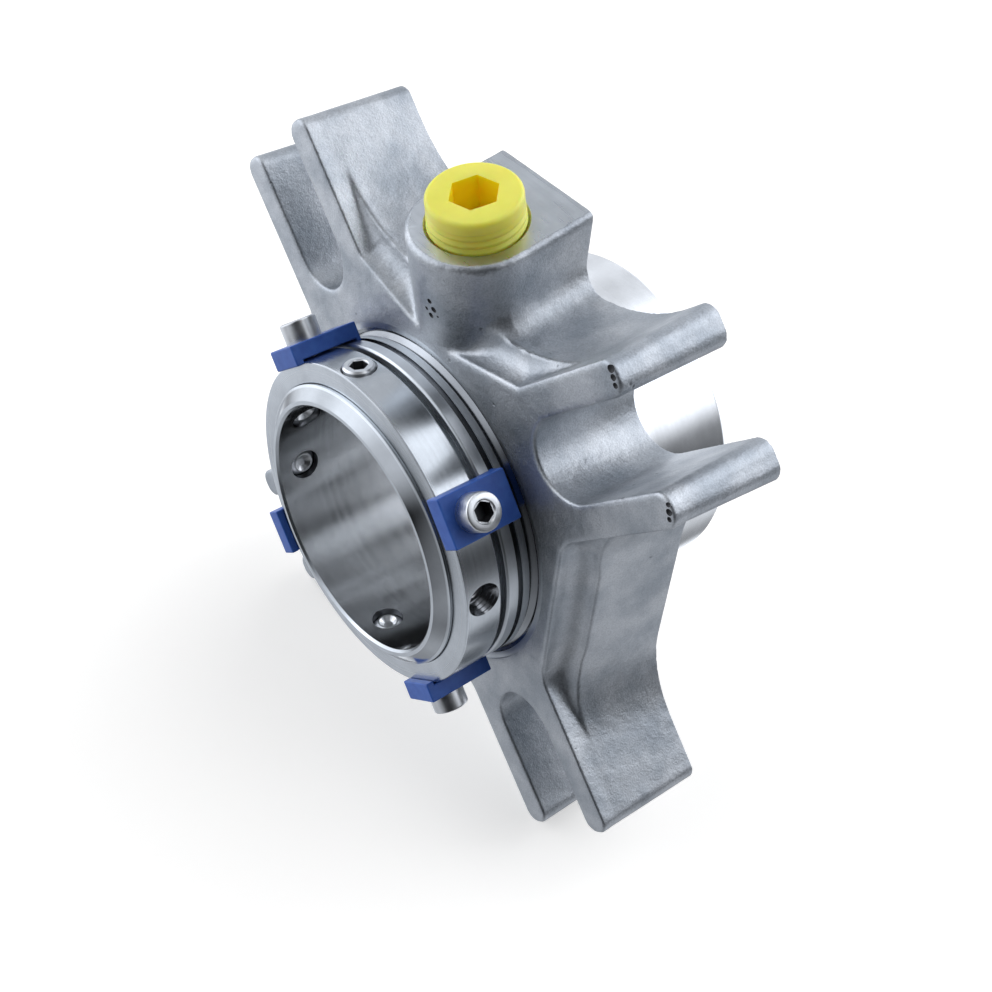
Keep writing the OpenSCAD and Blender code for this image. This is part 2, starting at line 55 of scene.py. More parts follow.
# Share of both legs of a corner at which its middle point lies on the round
ROUND_SHARE = 0.29

# Turned parts: radii and stations along the shaft
BORE_R = 25.03
SLEEVE_R = 28.73
LIP_R = 26.2
CLAMP_R = 33.0
CLAMP_FRONT = -38.2
CLAMP_BACK = -30.5
CLAMP_MID = (CLAMP_FRONT + CLAMP_BACK) / 2
SLEEVE_FRONT = -40.6
SLEEVE_BACK = 26.1
FLANGE_FRONT = SLEEVE_BACK - 6
FLANGE_R = 31.0
BARREL_R = 33.8
BARREL_FRONT = -8.3
CAVITY_R = BARREL_R - 1.1
CAVITY_BACK = 1.9
SPRINGS = 8
POCKET_R = 1.7
POCKET_BACK = 9.9
PIN_R = 1.03
BARREL_PIN_Y = FLANGE_FRONT + 1.6
DRIVE_PIN_Y = -2.5
NOSE_FRONT = -29.0
NOSE_BORE_R = SLEEVE_R + 0.85
GROOVE = (-26.6, -25.5)
GROOVE_R = 31.95

# Casting, from its front face to the mounting face at 0. Along a slot runs u, across it v.
FRONT = -23.0
TIP_U = 73.0
CORE_U = TIP_U - 4
SLOT_R = 7.75
SLOT_U = 50.75
FINGER_V = 14.05
FINGER_DRAFT = 1.3
TIP_R = 2.7

# Half widths of its flat sides; the front plate is narrower, and its top side splays
FRONT_WAIST = 38.2
LEDGE_WAIST = 42.3
BACK_WAIST = 45.3
TOP_RISE = 2.7
TOP_WAIST = 37.0
TOP_SPLAY = 0.24

# Ledge behind the front plate: where it lies, and how it climbs towards the fingers
PLATE_T = 3.2
LEDGE_TOP = FRONT + 4.4
LEDGE_Y = FRONT + 6.4
LEDGE_FROM = 10.0
LEDGE_RUN = 12.0
SWEEP = 0.9

# Rounds: concave corners between a flat side and a finger, edges and fillets
TOP_CORNER = 1.2
SIDE_CORNER = 7.0
TOP_ARC = 34.0
SIDE_ARC = 26.0
EDGE_R = 0.7
LEDGE_EDGE = 0.5
POCKET_SLOPE = 0.97
POCKET_FILLET = 4.0

# Metal behind the mounting face that facing takes off, and the turned ring around the nose
BACK_STOCK = 0.7
SPOT_R = 35.4
SPOT_DEPTH = 0.25

# Counterbore behind the nose, for the seat and its ring, and the gasket's recess
SEAT_R = 35.55
SEAT_FRONT = -20.8
SEAT_BACK = -11.6
SEAT_GROOVE = (-18.4, -14.4)
SEAT_GROOVE_R = 38.1
CHAMBER_R = 36.4
GASKET_R = (38.15, 41.85)
GASKET_DEPTH = 0.7

# Flush port and its boss, whose fillet grows from the front face backwards
PORT_Y = -15.0
PORT_Z = 59.8
LEAN = math.radians(11)
BOSS_R = 12.45
BOSS_EDGE = 1.3
BOSS_LOW = 37.0
BOSS_FOOT = 5.2
FOOT_FRONT = 0.8
FOOT_EDGE = 0.6
FOOT_START = 2.0
FOOT_RUN = 4.5
PORT_R = 8.6
PORT_BOTTOM = 12
PORT_DRILL = 3.2
PORT_MOUTH = 0.7

# Transit plug
PLUG_HEIGHT = 5.8
PLUG_BOTTOM = -7
PLUG_PITCH = 1.4
PLUG_THREAD = 0.3
PLUG_HEX = 8.0
PLUG_SOCKET = 6.6
PLUG_TOP_R = 8.42
PLUG_ROUND = 0.8

# Clips and screws
CLIP_A = 41
CLIP_W = 9.4
CLIP_T = 3.1
CLIP_HOOK = 0.8
CLIP_TAB = 1.6
CLIP_BEVEL = 0.28
HEAD_R = 3.5
HEAD_H = 4
HEAD_HEX = 3.4
HEAD_SOCKET = 3.2
CLIP_SCREW_R = 2
SET_A = 11
SET_R = 2.95
SET_HEX = 3.0
SET_SOCKET = 2.4
SET_TIP = BORE_R + 0.6

# Angle and length of each set screw; the first is short, so its hole shows threads
SET_SCREWS = [
    (SET_A, 3.6), (SET_A + 90, 8.0), (SET_A + 180, 8.0), (SET_A + 270, 8.0), (SET_A + 149, 8.0)
]
SET_PITCH = 1.0
SET_THREAD = 0.35


# Field of the casting: negative inside, in millimetres
def wedge(a, b, c):
    """Signed distance to the wedge a > 0 and b > 0 of two planes, c the cosine between them."""
    apex = np.sqrt(np.maximum(a * a + b * b - 2 * a * b * c, 0) / (1 - c * c))
    out = np.where((a < 0) & (b - a * c >= 0), -a, apex)
    out = np.where((b < 0) & (a - b * c >= 0), -b, out)
    return np.where((a >= 0) & (b >= 0), -np.minimum(a, b), out)


def round_and(a, b, r):
    """Intersection with its edge rounded off to radius r."""
    return np.minimum(np.maximum(a, b), -r) + np.hypot(np.maximum(a + r, 0), np.maximum(b + r, 0))


def round_or(a, b, r):
    """Union with its corner filled to radius r."""
    return np.maximum(np.minimum(a, b), r) - np.hypot(np.maximum(r - a, 0), np.maximum(r - b, 0))


def outline(p, q, half, v_out, concave):
    """Flat sides, concave corner rounds, fingers with round tips and the slot between them."""
    u = (p + q) / ROOT2
    v = (p - q) / ROOT2
    body = concave - wedge(p - half - concave, v - v_out - concave, 1 / ROOT2)
    slot = SLOT_R - np.where(u > SLOT_U, v, np.hypot(u - SLOT_U, v))
    core = np.maximum(np.maximum(body, slot), u - CORE_U)
    middle = (v_out + SLOT_R) / 2
    du = u - (TIP_U - TIP_R)
    dv = np.abs(v - middle) - ((v_out - SLOT_R) / 2 - TIP_R)
    finger = np.hypot(np.maximum(du, 0), np.maximum(dv, 0)) + np.minimum(np.maximum(du, dv), 0) - TIP_R
    return np.minimum(core, finger)


def casting(x, y, z):
    """Field of the whole casting: front plate, body with its draft and pockets, and port boss."""
    ax = np.abs(x)
    az = np.abs(z)
    p = np.maximum(ax, az)
    q = np.minimum(ax, az)
    top = z > ax
    draft = np.clip((y - FRONT - PLATE_T) / (-FRONT - PLATE_T), 0, 1)
    v_out = FINGER_V + FINGER_DRAFT * draft
    run = np.clip((y - LEDGE_Y) / -LEDGE_Y, 0, 1)
    half = LEDGE_WAIST + (BACK_WAIST - LEDGE_WAIST) * run + np.where(top, TOP_RISE, 0)
    rise = np.clip((q - LEDGE_FROM) / LEDGE_RUN, 0, 1)
    ledge = np.where(top, LEDGE_TOP, LEDGE_Y + (LEDGE_TOP - LEDGE_Y) * rise)
    waist = np.where(top, TOP_WAIST + TOP_SPLAY * q, FRONT_WAIST)
    plate = outline(p, q, waist, v_out, np.where(top, TOP_CORNER, SIDE_CORNER))
    block = outline(p, q, half, v_out, np.where(top, TOP_ARC, SIDE_ARC))
    fill = np.clip(POCKET_SLOPE * (plate - block), 0.01, POCKET_FILLET)
    body = round_or(plate, round_and(block, SWEEP * (ledge - y), LEDGE_EDGE), fill)
    ys = y - PORT_Y
    zs = z - PORT_Z
    yl = ys * math.cos(LEAN) + zs * math.sin(LEAN)
    zl = zs * math.cos(LEAN) - ys * math.sin(LEAN)
    plan = np.where(yl < 0, np.hypot(x, yl), ax) - BOSS_R
    boss = np.maximum(round_and(plan, zl, BOSS_EDGE), BOSS_LOW - z)
    foot = FOOT_FRONT + (BOSS_FOOT - FOOT_FRONT) * np.clip((y - FRONT - FOOT_START) / FOOT_RUN, 0, 1)
    inside = round_and(round_or(body, boss, foot), FRONT - y, EDGE_R)
    proud = round_or(round_and(body, FRONT - y, EDGE_R), boss, FOOT_EDGE)
    return np.maximum(np.minimum(inside, proud), y - BACK_STOCK)


def gradient(points):
    """Slope of the casting's field at points, by central differences."""
    step = 0.02
    out = np.empty_like(points)
    for axis in range(3):
        shift = np.zeros(3)
        shift[axis] = step
        out[:, axis] = (casting(*(points + shift).T) - casting(*(points - shift).T)) / (2 * step)
    return out


def surface_net(field, axes):
    """Vertices and outward quads of the surface where a field sampled on axes crosses zero."""
    inside = field < 0
    nx, ny, nz = field.shape
    corners = [(i, j, k) for i in (0, 1) for j in (0, 1) for k in (0, 1)]
    count = np.zeros((nx - 1, ny - 1, nz - 1), np.int8)
    for i, j, k in corners:
        count += inside[i:nx - 1 + i, j:ny - 1 + j, k:nz - 1 + k]
    active = (count > 0) & (count < 8)
    cells = np.argwhere(active)
    index = np.full(active.shape, -1, np.int64)
    index[active] = np.arange(len(cells))
    total = np.zeros((len(cells), 3))
    hits = np.zeros(len(cells))
    unit = np.eye(3, dtype=int)
    for axis in range(3):
        b1 = (axis + 1) % 3
        b2 = (axis + 2) % 3
        for i in (0, 1):
            for j in (0, 1):
                start = unit[b1] * i + unit[b2] * j
                a = cells + start
                b = a + unit[axis]
                fa = field[a[:, 0], a[:, 1], a[:, 2]]
                fb = field[b[:, 0], b[:, 1], b[:, 2]]
                crossed = (fa < 0) != (fb < 0)
                t = fa[crossed] / (fa[crossed] - fb[crossed])
                total[crossed] += start + unit[axis] * t[:, None]
                hits[crossed] += 1
    place = cells + total / hits[:, None]
    verts = np.stack([np.interp(place[:, i], np.arange(len(axes[i])), axes[i]) for i in range(3)], 1)
    quads = []
    shape = np.array(field.shape)
    for axis in range(3):
        b1 = (axis + 1) % 3
        b2 = (axis + 2) % 3
        head = [slice(None)] * 3
        tail = [slice(None)] * 3
        head[axis] = slice(0, -1)
        tail[axis] = slice(1, None)
        first = inside[tuple(head)]
        e = np.argwhere(first != inside[tuple(tail)])
        e = e[(e[:, b1] > 0) & (e[:, b2] > 0) & (e[:, b1] < shape[b1] - 1) & (e[:, b2] < shape[b2] - 1)]
        ring = [e - unit[b1] - unit[b2], e - unit[b2], e, e - unit[b1]]
        quad = np.stack([index[c[:, 0], c[:, 1], c[:, 2]] for c in ring], 1)
        leaving = first[e[:, 0], e[:, 1], e[:, 2]]
        quads.append(np.where(leaving[:, None], quad, quad[:, ::-1]))
    return verts, np.concatenate(quads)


def casting_mesh():
    """Mesh of the casting, finer along the shaft where edges and corners are small."""
    step = 0.75
    levels = [
        np.arange(-29.5, -23.3, 0.7), np.arange(-23.2, -21.9, 0.2), np.arange(-21.9, -20.1, 0.6),
        np.arange(-20.0, -15.5, 0.34), np.arange(-15.4, 2.0, 1.05)
    ]
    axes = [np.arange(-63.0, 63.0, step), np.concatenate(levels), np.arange(-63.0, 65.0, step)]
    grid = np.meshgrid(*axes, indexing="ij")
    verts, quads = surface_net(casting(*grid), axes)
    for _ in range(4):
        # Newton steps put each vertex on the true surface
        g = gradient(verts)
        push = casting(*verts.T)[:, None] * g / np.maximum((g * g).sum(1), 0.05)[:, None]
        size = np.linalg.norm(push, axis=1, keepdims=True)
        verts -= push * np.minimum(1, 0.5 / np.maximum(size, 1e-9))
    return verts, quads


# Meshes and objects
def add(name, data):
    """New object in the scene, from a mesh, a light or a camera."""
    obj = bpy.data.objects.new(name, data)
    bpy.context.scene.collection.objects.link(obj)
    return obj


def mesh_of(name, verts, faces, finish):
    """Mesh from vertices in millimetres, with one material."""
    mesh = bpy.data.meshes.new(name)
    mesh.from_pydata((np.asarray(verts, float) * MM).tolist(), [], [list(f) for f in faces])
    mesh.materials.append(finish)
    return mesh


def lathe(name, points, finish, segments=192):
    """Turned solid about the shaft from points (radius, y), in order with the metal on their left."""
    verts = []
    faces = []
    first = []
    for r, y in points:
        if r == 0:
            first.append((len(verts), 1))
            verts.append((0, y, 0))
            continue
        first.append((len(verts), segments))
        for i in range(segments):
            g = 2 * math.pi * i / segments
            verts.append((r * math.cos(g), y, r * math.sin(g)))
    for k in range(len(points)):
        a0, an = first[k]
        b0, bn = first[(k + 1) % len(points)]
        if an == 1 and bn == 1:
            continue
        for i in range(segments):
            j = (i + 1) % segments
            if an == 1:
                faces.append((a0, b0 + i, b0 + j))
            elif bn == 1:
                faces.append((a0 + i, b0, a0 + j))
            else:
                faces.append((a0 + i, b0 + i, b0 + j, a0 + j))
    mesh = mesh_of(name, verts, faces, finish)
    outward(mesh)
    return mesh


def outward(mesh):
    """Turns the faces of a closed mesh so that it encloses a positive volume."""
    total = 0.0
    verts = [v.co for v in mesh.vertices]
    for f in mesh.polygons:
        ids = f.vertices
        for k in range(1, len(ids) - 1):
            total += verts[ids[0]].dot(verts[ids[k]].cross(verts[ids[k + 1]]))
    if total < 0:
        mesh.flip_normals()


def move(mesh, matrix):
    mesh.transform(matrix)
    return mesh


def from_shaft(g, y):
    """Matrix that turns +Y to the radius at angle g and +Z to the shaft's -Y, and moves to y."""
    g = math.radians(g)
    out = Vector((math.cos(g), 0, math.sin(g)))
    across = Vector((math.sin(g), 0, -math.cos(g)))
    m = Matrix((across, out, across.cross(out))).transposed().to_4x4()
    m.translation = (0, y * MM, 0)
    return m


def in_port():
    """Matrix of the port's own frame, with a lathe shape's +Y pointing out of the port."""
    out = Vector((0, -math.sin(LEAN), math.cos(LEAN)))
    across = Vector((1, 0, 0))
    m = Matrix((across, out, across.cross(out))).transposed().to_4x4()
    m.translation = (0, PORT_Y * MM, PORT_Z * MM)
    return m


def bake(obj):
    """Replaces the object's mesh by the result of its modifiers."""
    graph = bpy.context.evaluated_depsgraph_get()
    made = bpy.data.meshes.new_from_object(obj.evaluated_get(graph))
    obj.modifiers.clear()
    old = obj.data
    obj.data = made
    bpy.data.meshes.remove(old)


def combine(obj, mesh, how="DIFFERENCE"):
    """Cuts a closed mesh from obj, or joins it, keeping each one's materials."""
    tool = add("cutter", mesh)
    mod = obj.modifiers.new("cut", "BOOLEAN")
    mod.operation = how
    mod.solver = "MANIFOLD"
    mod.material_mode = "TRANSFER"
    mod.object = tool
    bake(obj)
    bpy.data.objects.remove(tool)
    bpy.data.meshes.remove(mesh)


def smooth(obj, angle=32):
    """Smooth shading with sharp corners, in which flat faces stay flat beside their small rounds."""
    obj.data.shade_smooth()
    obj.data.set_sharp_from_angle(angle=math.radians(angle))
    even = obj.modifiers.new("even", "WEIGHTED_NORMAL")
    even.keep_sharp = True
    bake(obj)


def hexagon(flats, y0, y1, finish, turn=0.0):
    """Hexagonal prism about +Y, its size given across flats."""
    sides = 6
    r = flats / 2 / math.cos(math.pi / sides)
    verts = []
    for y in (y0, y1):
        for i in range(sides):
            g = 2 * math.pi * i / sides + turn
            verts.append((r * math.cos(g), y, r * math.sin(g)))
    faces = [(i, (i + 1) % sides, sides + (i + 1) % sides, sides + i) for i in range(sides)]
    faces += [tuple(range(sides - 1, -1, -1)), tuple(range(sides, 2 * sides))]
    mesh = mesh_of("hexagon", verts, faces, finish)
    outward(mesh)
    return mesh


def chamfered(points, c):
    """Rounds each corner of a profile with three points, c along the sides where they are long enough."""
    n = len(points)
    out = []
    for i in range(n):
        a = Vector(points[i - 1])
        b = Vector(points[i])
        d = Vector(points[(i + 1) % n])
        la = (a - b).length
        ld = (d - b).length
        if min(la, ld) < 2.5 * c or b.x < 0.01:
            out.append(tuple(b))
            continue
        out.append(tuple(b + (a - b) * (c / la)))
        mid = b + ((a - b) * (c / la) + (d - b) * (c / ld)) * ROUND_SHARE
        out.append(tuple(mid))
        out.append(tuple(b + (d - b) * (c / ld)))
    return out


# Materials
def material(name, base, metallic, roughness):
    """Material with a plain shader, to be dressed by the functions below."""
    m = bpy.data.materials.new(name)
    m.use_nodes = True
    shader = m.node_tree.nodes["Principled BSDF"]
    shader.inputs["Base Color"].default_value = (*base, 1)
    shader.inputs["Metallic"].default_value = metallic
    shader.inputs["Roughness"].default_value = roughness
    return m


def node(m, kind, **sockets):
    """New node with its sockets or its own settings set by name."""
    n = m.node_tree.nodes.new(kind)
    for key, value in sockets.items():
        key = key.replace("_", " ")
        if key in n.inputs:
            n.inputs[key].default_value = value
        else:
            setattr(n, key.replace(" ", "_"), value)
    return n


def link(m, a, b):
    m.node_tree.links.new(a, b)


def position(m):
    """Object coordinates."""
    return node(m, "ShaderNodeTexCoord").outputs["Object"]


def ramp(m, source, stops):
    """Colour ramp whose stops hold a place and a colour or a grey."""
    r = node(m, "ShaderNodeValToRGB")
    e = r.color_ramp.elements
    while len(e) < len(stops):
        e.new(0.5)
    for k, (at, colour) in enumerate(stops):
        e[k].position = at
        e[k].color = (colour, colour, colour, 1) if isinstance(colour, float) else (*colour, 1)
    link(m, source, r.inputs["Fac"])
    return r.outputs["Color"]


def bump(m, height, distance, strength, normal=None):
    """Relief from a height between 0 and 1, over an earlier normal where one is given."""
    b = node(m, "ShaderNodeBump", Strength=strength, Distance=distance)
    link(m, height, b.inputs["Height"])
    if normal:
        link(m, normal, b.inputs["Normal"])
    return b.outputs["Normal"]


def noise(m, vector, scale, detail=3.0, rough=0.55):
    """Noise texture, its scale in waves per metre."""
    n = node(m, "ShaderNodeTexNoise", Scale=scale, Detail=detail, Roughness=rough)
    link(m, vector, n.inputs["Vector"])
    return n.outputs["Fac"]


def multiply(m, a, b):
    """Product of two colours."""
    n = node(m, "ShaderNodeMix", data_type="RGBA", blend_type="MULTIPLY")
    n.inputs[0].default_value = 1.0
    link(m, a, n.inputs[6])
    link(m, b, n.inputs[7])
    return n.outputs[2]


def shader_of(m):
    return m.node_tree.nodes["Principled BSDF"]


def cast_steel():
    """Blasted casting: fine grain, soft waves of the skin and a few small pits, painted dark inside as
    shade.
    """
    m = material("cast_steel", (0.5, 0.52, 0.55), 1.0, 0.48)
    s = shader_of(m)
    at = position(m)
    cloud = noise(m, at, 110, 4)
    grain = noise(m, at, 3000, 3, 0.65)
    base = ramp(m, cloud, [(0.36, (0.42, 0.45, 0.485)), (0.62, (0.61, 0.63, 0.655))])
    speck = ramp(m, grain, [(0.36, 0.76), (0.62, 1.0)])
    tint = multiply(m, base, speck)
    pits = node(m, "ShaderNodeTexVoronoi", Scale=330.0)
    link(m, at, pits.inputs["Vector"])
    sparse = noise(m, at, 160, 2)
    hollow = ramp(m, pits.outputs["Distance"], [(0.06, 0.0), (0.16, 1.0)])
    spared = ramp(m, sparse, [(0.32, 0.0), (0.37, 1.0)])
    pit = node(m, "ShaderNodeMath", operation="MAXIMUM")
    link(m, hollow, pit.inputs[0])
    link(m, spared, pit.inputs[1])
    depth = pit.outputs["Value"]
    # The pits darken the colour as well as the relief: painted shade in the hollows
    link(m, multiply(m, tint, ramp(m, depth, [(0.0, 0.35), (1.0, 1.0)])), s.inputs["Base Color"])
    link(m, ramp(m, grain, [(0.3, 0.37), (0.7, 0.52)]), s.inputs["Roughness"])
    waves = noise(m, at, 300, 3)
    soft = bump(m, waves, 0.00032, 0.6)
    rough = bump(m, grain, 0.00006, 0.9, soft)
    link(m, bump(m, depth, 0.00015, 0.8, rough), s.inputs["Normal"])
    return m


def turned_steel(name, base, roughness, lines=0.5, stretch=0.0):
    """Turned finish: rings about the shaft, lines deep, with gloss drawn out across them by stretch."""
    m = material(name, base, 1.0, roughness)
    s = shader_of(m)
    coords = node(m, "ShaderNodeTexCoord")
    parts = node(m, "ShaderNodeSeparateXYZ")
    link(m, coords.outputs["Object"], parts.inputs["Vector"])
    square = node(m, "ShaderNodeCombineXYZ")
    link(m, parts.outputs["X"], square.inputs["X"])
    link(m, parts.outputs["Z"], square.inputs["Y"])
    length = node(m, "ShaderNodeVectorMath", operation="LENGTH")
    link(m, square.outputs["Vector"], length.inputs[0])
    rings = node(m, "ShaderNodeCombineXYZ")
    link(m, length.outputs["Value"], rings.inputs["X"])
    link(m, parts.outputs["Y"], rings.inputs["Y"])
    fine = noise(m, rings.outputs["Vector"], 2600, 1)
    broad = noise(m, rings.outputs["Vector"], 900, 2)
    link(m, ramp(m, broad, [(0.3, roughness * 0.85), (0.7, roughness * 1.2)]), s.inputs["Roughness"])
    shade = noise(m, coords.outputs["Object"], 130, 4)
    dull = tuple(0.86 * c for c in base)
    streak = ramp(m, fine, [(0.3, 0.975), (0.7, 1.0)])
    link(m, multiply(m, ramp(m, shade, [(0.35, dull), (0.65, base)]), streak), s.inputs["Base Color"])
    link(m, bump(m, fine, 0.000004, lines), s.inputs["Normal"])
    if stretch:
        s.inputs["Anisotropic"].default_value = stretch
        s.inputs["Anisotropic Rotation"].default_value = 0.25
        cross = node(m, "ShaderNodeVectorMath", operation="CROSS_PRODUCT")
        cross.inputs[0].default_value = (0, 1, 0)
        link(m, coords.outputs["Object"], cross.inputs[1])
        link(m, cross.outputs["Vector"], s.inputs["Tangent"])
    return m


def enamel():
    """Satin dark blue paint of the clips."""
    m = material("clip_enamel", (0.04, 0.1, 0.4), 0.0, 0.35)
    s = shader_of(m)
    s.inputs["Specular IOR Level"].default_value = 0.3
    at = position(m)
    cloud = noise(m, at, 400, 2)
    tint = ramp(m, cloud, [(0.3, (0.035, 0.105, 0.42)), (0.7, (0.05, 0.14, 0.5))])
    link(m, tint, s.inputs["Base Color"])
    grain = noise(m, at, 2500, 2)
    link(m, bump(m, grain, 0.00003, 0.4), s.inputs["Normal"])
    return m


def plug_plastic(name, low, high):
    """Translucent moulded plastic, in which the light that wanders inside comes out warmer."""
    m = material(name, high, 0.0, 0.36)
    s = shader_of(m)
    s.inputs["Subsurface Weight"].default_value = 0.75
    s.inputs["Subsurface Scale"].default_value = 0.0035
    s.inputs["Subsurface Radius"].default_value = (1.0, 0.6, 0.1)
    at = position(m)
    cloud = noise(m, at, 200, 2)
    link(m, ramp(m, cloud, [(0.3, low), (0.7, high)]), s.inputs["Base Color"])
    grain = noise(m, at, 1400, 2)
    link(m, bump(m, grain, 0.00004, 0.35), s.inputs["Normal"])
    return m


def matt(name, base, roughness):
    """Dull finish with slight clouds and grain."""
    m = material(name, base, 0.0, roughness)
    s = shader_of(m)
    at = position(m)
    dark = tuple(0.75 * c for c in base)
    link(m, ramp(m, noise(m, at, 500, 3), [(0.3, dark), (0.7, base)]), s.inputs["Base Color"])
    link(m, bump(m, noise(m, at, 1800, 2), 0.00003, 0.5), s.inputs["Normal"])
    return m


CAST = cast_steel()
TURNED = turned_steel("turned_steel", (0.62, 0.65, 0.68), 0.24, 0.4, 0.7)
BORED = turned_steel("honed_bore", (0.72, 0.73, 0.74), 0.15, 0.15, 0.8)
LIP = turned_steel("lip_chamfer", (0.46, 0.48, 0.5), 0.12, 0.1)
# Darker steel for the nose's grooves: painted shade inside them
GROOVE_SHADE = turned_steel("groove_painted_shade", (0.36, 0.375, 0.395), 0.2, 0.3)
MACHINED = turned_steel("machined_face", (0.62, 0.65, 0.68), 0.3, 0.4, 0.6)
POLISHED = turned_steel("polished_steel", (0.9, 0.91, 0.92), 0.16, 0.1, 0.5)
# Near-black lining for the screws' hex sockets: painted shade in the sockets
SOCKET_SHADE = matt("socket_painted_shade", (0.05, 0.052, 0.055), 0.35)
# Darker steel for the walls of the drilled holes: painted shade inside them
HOLE_SHADE = turned_steel("hole_painted_shade", (0.4, 0.41, 0.43), 0.16)
SCREW = turned_steel("screw_steel", (0.8, 0.81, 0.82), 0.32)
# Near-black lining of the small pits: painted shade in them
PIT_SHADE = matt("pit_painted_shade", (0.06, 0.06, 0.065), 0.6)
ENAMEL = enamel()
PLASTIC = plug_plastic("plug_plastic", (0.85, 0.81, 0.11), (0.91, 0.87, 0.14))
# Deeper orange copy of the plug's plastic for inside its hex socket: painted shade in the socket
SOCKET_PLASTIC_SHADE = plug_plastic("plug_socket_painted_shade", (0.97, 0.76, 0.01), (1.0, 0.82, 0.02))
MATERIAL = {
    "gland_gasket": matt("gasket_fibre", (0.12, 0.13, 0.13), 0.8),
    "stationary_face": matt("seat_ceramic", (0.2, 0.2, 0.22), 0.3),
    "stationary_o_ring": matt("o_ring_rubber", (0.02, 0.02, 0.02), 0.55),
    "anti_rotation_pin": SCREW,
    "barrel_pins": SCREW,
    "drive_pins": SCREW,
    "springs": SCREW,
    "rotary_face": matt("carbon", (0.035, 0.035, 0.04), 0.4),
    "thrust_ring": TURNED,
}
MATERIAL["shaft_o_ring"] = MATERIAL["stationary_o_ring"]
MATERIAL["rotary_o_ring"] = MATERIAL["stationary_o_ring"]
for name, finish in MATERIAL.items():
    mesh = frame["nodes"][name].data
    mesh.materials.clear()
    mesh.materials.append(finish)


# Small pits on the boss and on the front corners of two fingers, cut as casting flaws and painted
# near-black inside as shade: place and radius
PITS = [
    ((1.3, -25.3, 47.9), 0.55),
    ((2.1, -25.0, 46.4), 0.62),
    ((1.2, -24.8, 44.6), 0.6),
    ((0.2, -24.9, 45.6), 0.4),
    ((2.9, -24.8, 45.2), 0.4),
    ((41.6, -23.2, 60.9), 0.5),
    ((42.4, -23.2, 59.9), 0.8),
    ((43.2, -23.2, 58.7), 0.65),
    ((43.9, -23.1, 57.6), 0.55),
    ((58.4, -23.1, 44.3), 0.5),
    ((58.9, -23.1, 43.1), 0.65),
    ((59.3, -23.0, 41.9), 0.5),
]


def dents():
    """Small balls in one mesh, to be cut from the skin of the casting, leaving pits painted near-black
    inside as shade.
    """
    bm = bmesh.new()
    for place, r in PITS:
        at = Matrix.Translation(Vector(place) * MM)
        bmesh.ops.create_icosphere(bm, subdivisions=2, radius=r * MM, matrix=at)
    mesh = bpy.data.meshes.new("dents")
    bm.to_mesh(mesh)
    bm.free()
    mesh.materials.append(PIT_SHADE)
    outward(mesh)
    return mesh


# Gland: the casting, with the nose joined on and everything machined cut crisply
def gland():
    verts, quads = casting_mesh()
    obj = add("gland_cast", mesh_of("gland_cast", verts, quads, CAST))
    nose = chamfered([
        (SPOT_R - 4, FRONT + 2), (SPOT_R - 4, FRONT + 0.9), (CLAMP_R + 1.1, FRONT + 0.9),
        (CLAMP_R + 0.25, FRONT + 0.1), (CLAMP_R, FRONT - 0.7), (CLAMP_R, NOSE_FRONT + 0.4),
        (CLAMP_R - 0.4, NOSE_FRONT), (NOSE_BORE_R - 1, NOSE_FRONT), (NOSE_BORE_R - 1, FRONT + 2)
    ], 0.12)
    spot_y = FRONT + SPOT_DEPTH
    spot = [(CLAMP_R - 2, FRONT - 8), (SPOT_R, FRONT - 8), (SPOT_R, spot_y), (CLAMP_R - 2, spot_y)]
    combine(obj, lathe("cut", spot, MACHINED))
    combine(obj, lathe("nose", nose, MACHINED), "UNION")
    # The clip groove and the relief groove are lined with the darker steel, as painted shade
    groove = [
        (GROOVE_R, GROOVE[0]), (CLAMP_R + 1, GROOVE[0]), (CLAMP_R + 1, GROOVE[1]), (GROOVE_R, GROOVE[1])
    ]
    combine(obj, lathe("cut", groove, GROOVE_SHADE))
    relief = [
        (CLAMP_R - 0.5, FRONT - 1), (CLAMP_R + 1.1, FRONT - 1), (CLAMP_R + 1.1, FRONT + 0.6),
        (CLAMP_R + 0.4, FRONT + 0.6), (CLAMP_R - 0.5, FRONT - 0.2)
    ]
    combine(obj, lathe("cut", relief, GROOVE_SHADE))
    bore = [
        (0, -45), (NOSE_BORE_R, -45), (NOSE_BORE_R, SEAT_FRONT), (SEAT_R, SEAT_FRONT),
        (SEAT_R, SEAT_GROOVE[0]), (SEAT_GROOVE_R, SEAT_GROOVE[0]), (SEAT_GROOVE_R, SEAT_GROOVE[1]),
        (SEAT_R, SEAT_GROOVE[1]), (SEAT_R, SEAT_BACK), (CHAMBER_R, SEAT_BACK), (CHAMBER_R, 3), (0, 3)
    ]
    combine(obj, lathe("cut", bore, MACHINED))
    recess = [
        (GASKET_R[0], -GASKET_DEPTH), (GASKET_R[1], -GASKET_DEPTH), (GASKET_R[1], 2), (GASKET_R[0], 2)
    ]
    combine(obj, lathe("cut", recess, MACHINED))
    face = [(0, 0), (90, 0), (90, 3), (0, 3)]
    combine(obj, lathe("cut", face, MACHINED, 64))
    port = [
        (0, -2 * PORT_BOTTOM), (PORT_DRILL, -2 * PORT_BOTTOM), (PORT_DRILL, -PORT_BOTTOM),
        (PORT_R - 0.5, -PORT_BOTTOM), (PORT_R, -PORT_MOUTH), (PORT_R + 0.65, 0), (PORT_R + 0.65, 2), (0, 2)
    ]
    combine(obj, move(lathe("cut", port, MACHINED, 96), in_port()))
    combine(obj, dents())
    skim = [(0, -0.06), (20, -0.06), (20, 2), (0, 2)]
    combine(obj, move(lathe("cut", skim, MACHINED, 64), in_port()))
    smooth(obj, 38)
    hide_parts("gland")
    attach(obj, "gland_unit")


